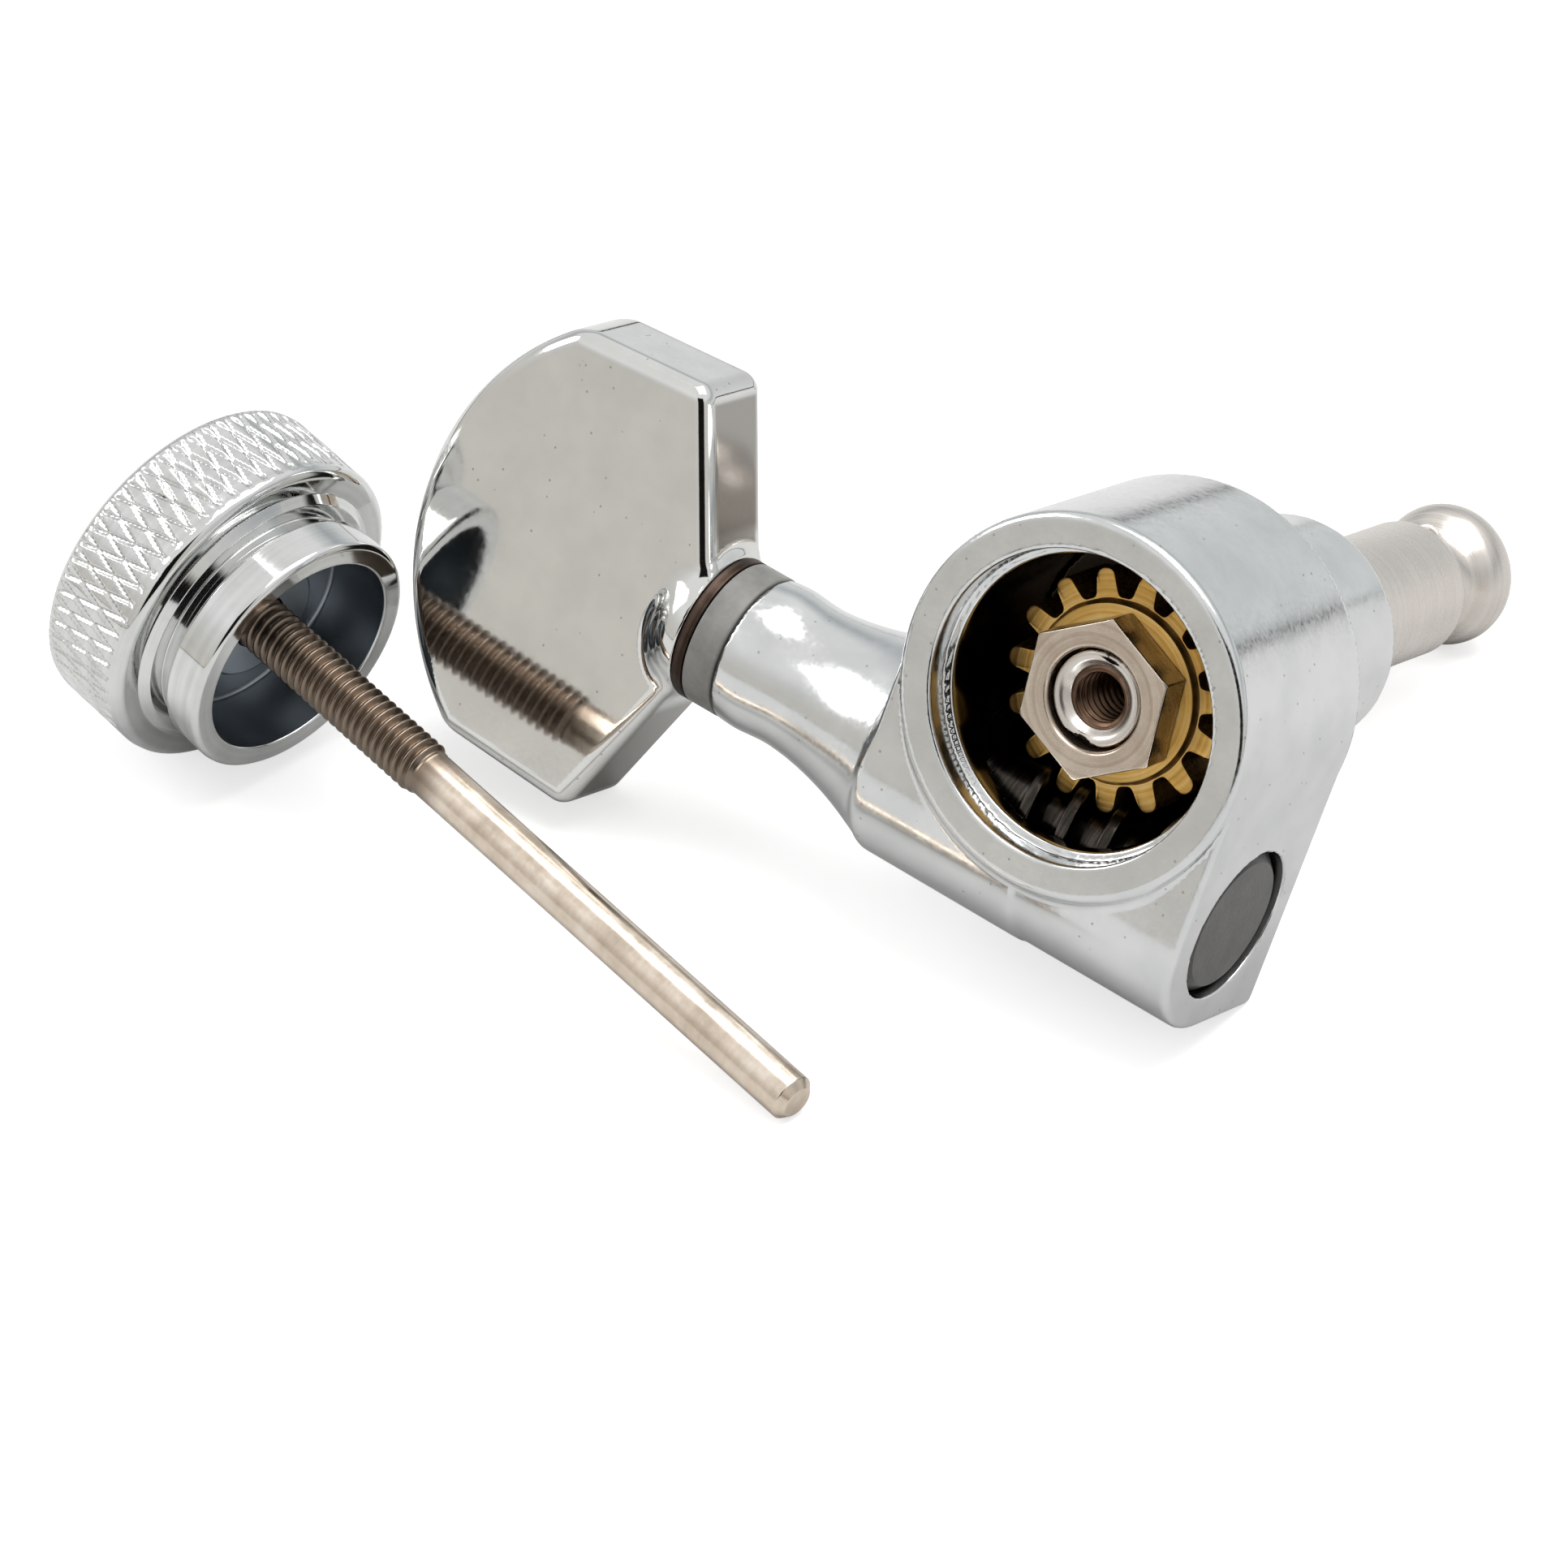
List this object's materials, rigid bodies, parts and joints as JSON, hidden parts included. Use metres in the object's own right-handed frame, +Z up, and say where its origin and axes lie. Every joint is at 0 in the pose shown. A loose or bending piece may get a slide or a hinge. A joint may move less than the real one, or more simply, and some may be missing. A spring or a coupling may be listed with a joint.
{
  "type": "guitar tuning machine",
  "caption": "Rear-locking guitar tuning machine: worm-driven string post in a round case, half-moon button, and its unscrewed locking knob with a threaded pin.",
  "frame": {"origin": "centre of the whole part's box on the table, tuner and unscrewed knob together", "axes": "+Z up from the table, +X from the knob towards the worm tube's plugged end, +Y roughly along the string post towards its tip"},
  "size_m": [0.0526, 0.0472, 0.023],
  "materials": {
    "chrome_plate": "polished",
    "satin_nickel": "satin",
    "tarnished_nickel": "satin",
    "brass": "machined",
    "dark_steel": "satin",
    "bright_steel": "satin",
    "spring_steel": "satin",
    "dark_polymer": "matte",
    "grey_polymer": "matte",
    "pale_polymer": "matte"
  },
  "bodies": {
    "case": {"housing": "chrome_plate", "locating_pin_left": "bright_steel", "locating_pin_right": "bright_steel", "post_bush": "pale_polymer", "wheel_washer": "bright_steel", "worm_washer_neck": "bright_steel", "worm_washer_plug": "bright_steel", "end_plug": "dark_polymer", "neck_spacer": "grey_polymer"},
    "post": {"string_post": "satin_nickel", "worm_wheel": "brass", "wheel_nut": "satin_nickel"},
    "worm_and_button": {"worm_shaft": "dark_steel", "spring_washer": "spring_steel", "button": "chrome_plate", "screw_washer": "pale_polymer", "button_screw": "satin_nickel"},
    "lock": {"lock_knob": "chrome_plate", "lock_pin": "tarnished_nickel"}
  },
  "joints": [
    {"name": "worm_spin", "type": "hinge", "parent": "case", "child": "worm_and_button", "pos_m": [0.00524, -0.00728, 0.00867], "axis": [0.9918, 0, -0.1278], "continuous": true},
    {"name": "post_spin", "type": "hinge", "parent": "case", "child": "post", "pos_m": [0.01751, 0.00428, 0.01001], "axis": [-0.0483, 0.9258, -0.375], "continuous": true},
    {"name": "lock_lift", "type": "slide", "parent": "case", "child": "lock", "axis": [0, 0, 1], "range_m": [0, 0.03]}
  ],
  "couplings": [
    {"joint": "post_spin", "follows": "worm_spin", "ratio": 0.066667}
  ]
}
